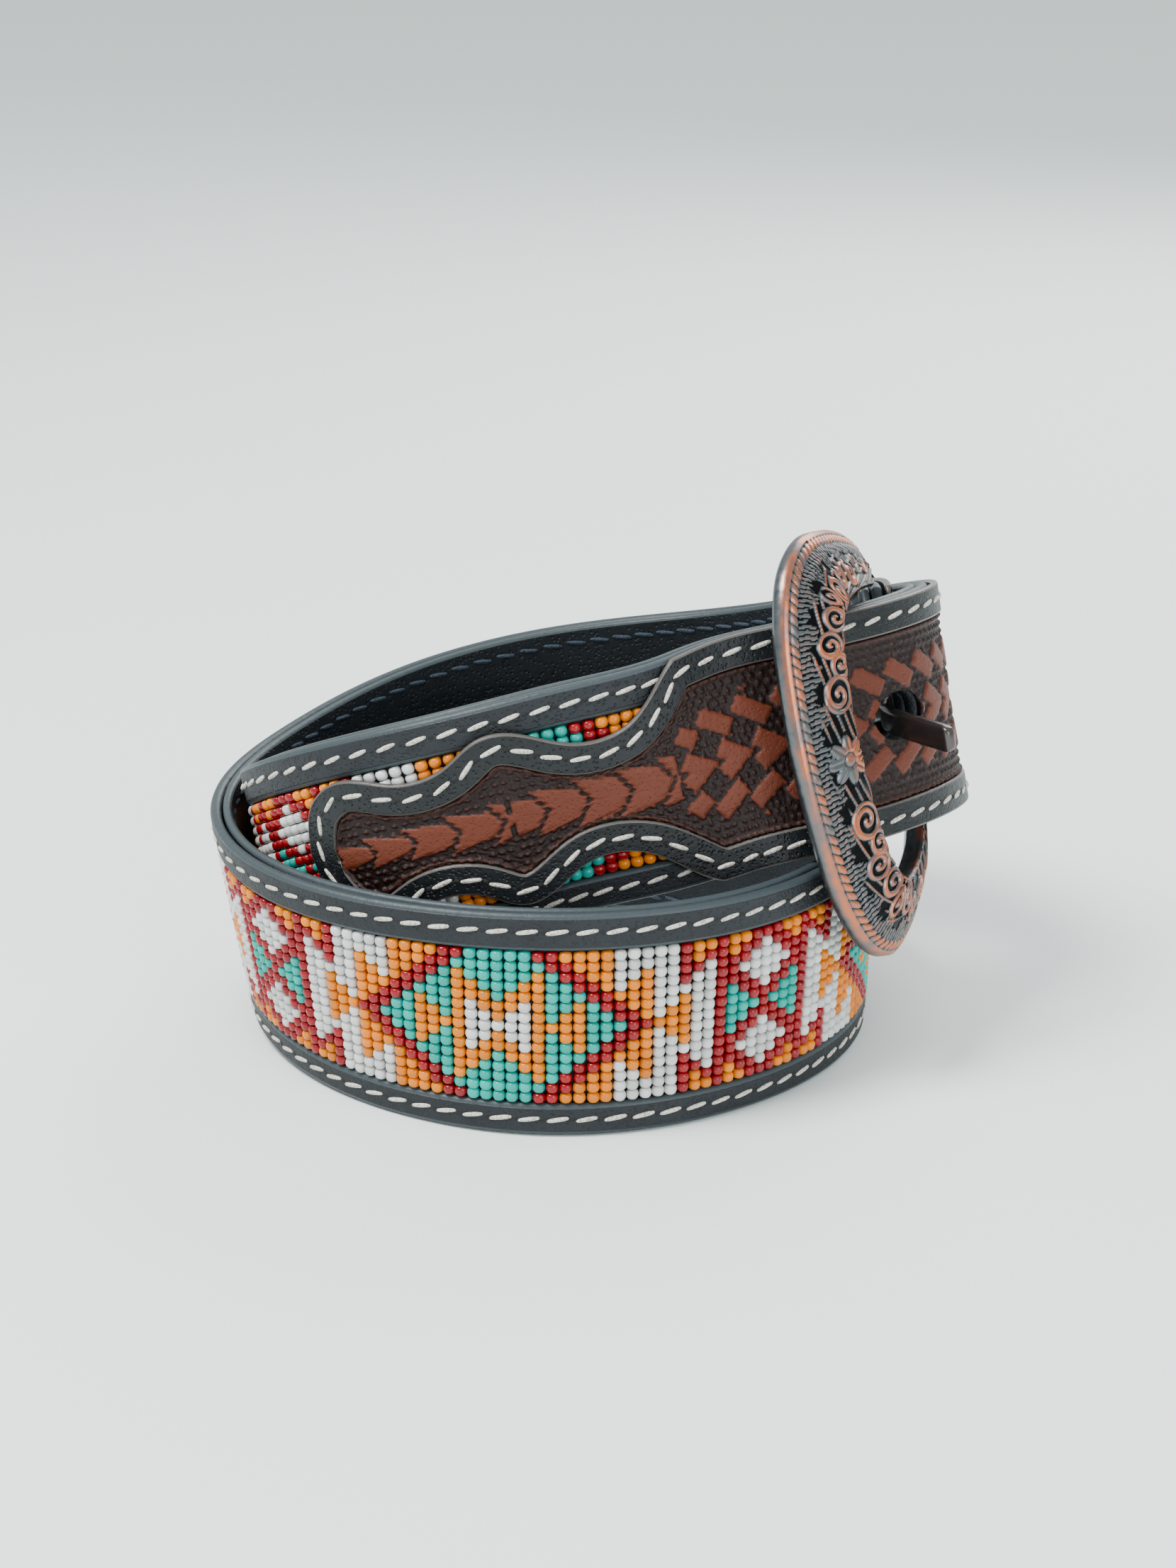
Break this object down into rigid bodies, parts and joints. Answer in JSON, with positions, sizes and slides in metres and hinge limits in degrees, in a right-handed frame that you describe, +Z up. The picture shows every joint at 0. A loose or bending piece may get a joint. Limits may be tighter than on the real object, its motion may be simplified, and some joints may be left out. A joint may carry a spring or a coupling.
{
  "type": "beaded belt",
  "caption": "Leather belt with a woven seed-bead band, scalloped tooled ends and an engraved horseshoe buckle, fastened and wound in a loose roll on its edge.",
  "frame": {"origin": "middle of the rolled belt's box, at floor level", "axes": "+Z up across the strap, -Y towards the bead band that faces the viewer, +X towards the buckle's side"},
  "size_m": [0.1294, 0.1176, 0.0896],
  "materials": {
    "lining_leather": "matt",
    "black_leather": "semi-gloss",
    "tooled_leather": "satin",
    "seed_beads": "gloss",
    "antique_copper": "antique",
    "dark_metal": "polished"
  },
  "bodies": {
    "root": {"strap_lining": "lining_leather", "strap_face": "black_leather", "bead_panel": "seed_beads", "billet_border": "black_leather", "billet_panel": "tooled_leather", "chape_border": "black_leather", "chape_panel": "tooled_leather", "chape_fold": "lining_leather", "buckle_frame": "antique_copper", "prong": "dark_metal"}
  },
  "joints": []
}
